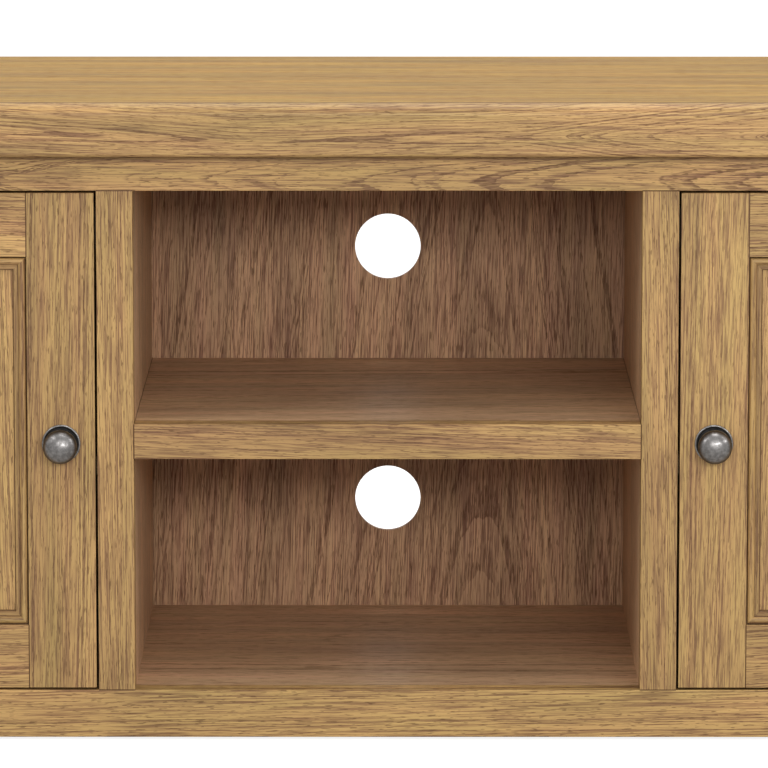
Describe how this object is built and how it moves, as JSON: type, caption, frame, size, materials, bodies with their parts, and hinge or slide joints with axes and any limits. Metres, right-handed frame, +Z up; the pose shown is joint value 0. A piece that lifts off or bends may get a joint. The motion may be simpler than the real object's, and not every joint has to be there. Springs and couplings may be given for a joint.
{
  "type": "media cabinet",
  "caption": "Low oak media cabinet with an open centre bay split by a fixed shelf, cable ports in the back, and a hinged, framed-panel door with a domed knob on each side.",
  "frame": {"origin": "on the floor, at the centre of the whole outline, knobs included", "axes": "+X to the right seen from the front, +Y towards the back, +Z up; the doors face -Y"},
  "size_m": [1.2, 0.445, 0.55],
  "materials": {
    "oak": "satin lacquered oak, open pores",
    "oak_top": "satin lacquered oak, straight grain",
    "oak_inside": "satin lacquered oak, in shade",
    "oak_back": "oak veneer, crown cut",
    "pewter": "antique pewter, speckled",
    "brass": "aged satin brass",
    "steel": "zinc plated",
    "plastic": "brown moulded plastic"
  },
  "bodies": {
    "cabinet": {"top_board": "oak_top", "top_edging": "oak", "face_top_rail": "oak", "face_bottom_rail": "oak", "left_front_post": "oak", "right_front_post": "oak", "left_rear_post": "oak", "right_rear_post": "oak", "left_center_stile": "oak", "right_center_stile": "oak", "left_divider": "oak_inside", "right_divider": "oak_inside", "base_board": "oak_inside", "left_end_top_rail": "oak", "left_end_bottom_rail": "oak", "left_end_panel": "oak", "right_end_top_rail": "oak", "right_end_bottom_rail": "oak", "right_end_panel": "oak", "rear_top_rail": "oak_inside", "rear_bottom_rail": "oak_inside", "back_panel_left": "oak_back", "back_panel_center": "oak_back", "back_panel_right": "oak_back", "center_shelf_board": "oak_inside", "center_shelf_lipping": "oak", "left_shelf": "oak_inside", "right_shelf": "oak_inside", "shelf_pins": "steel", "floor_glides": "plastic", "top_screws": "steel", "back_panel_screws": "steel", "magnetic_catches": "plastic", "frame_hinge_leaves": "brass", "hinge_pins": "brass", "frame_screws": "brass"},
    "left_door": {"left_door_hinge_stile": "oak", "left_door_lock_stile": "oak", "left_door_top_rail": "oak", "left_door_bottom_rail": "oak", "left_door_panel": "oak", "left_door_moulding": "oak", "left_knob": "pewter", "left_knob_rose": "pewter", "left_knob_screw": "steel", "left_door_hinge_leaves": "brass", "left_strike_plate": "steel", "left_door_screws": "brass"},
    "right_door": {"right_door_hinge_stile": "oak", "right_door_lock_stile": "oak", "right_door_top_rail": "oak", "right_door_bottom_rail": "oak", "right_door_panel": "oak", "right_door_moulding": "oak", "right_knob": "pewter", "right_knob_rose": "pewter", "right_knob_screw": "steel", "right_door_hinge_leaves": "brass", "right_strike_plate": "steel", "right_door_screws": "brass"}
  },
  "joints": [
    {"name": "left_door_hinge", "type": "hinge", "parent": "cabinet", "child": "left_door", "pos_m": [-0.543, -0.1957, 0.259], "axis": [0, 0, -1], "range_deg": [0, 180]},
    {"name": "right_door_hinge", "type": "hinge", "parent": "cabinet", "child": "right_door", "pos_m": [0.543, -0.1957, 0.259], "axis": [0, 0, 1], "range_deg": [0, 180]}
  ]
}
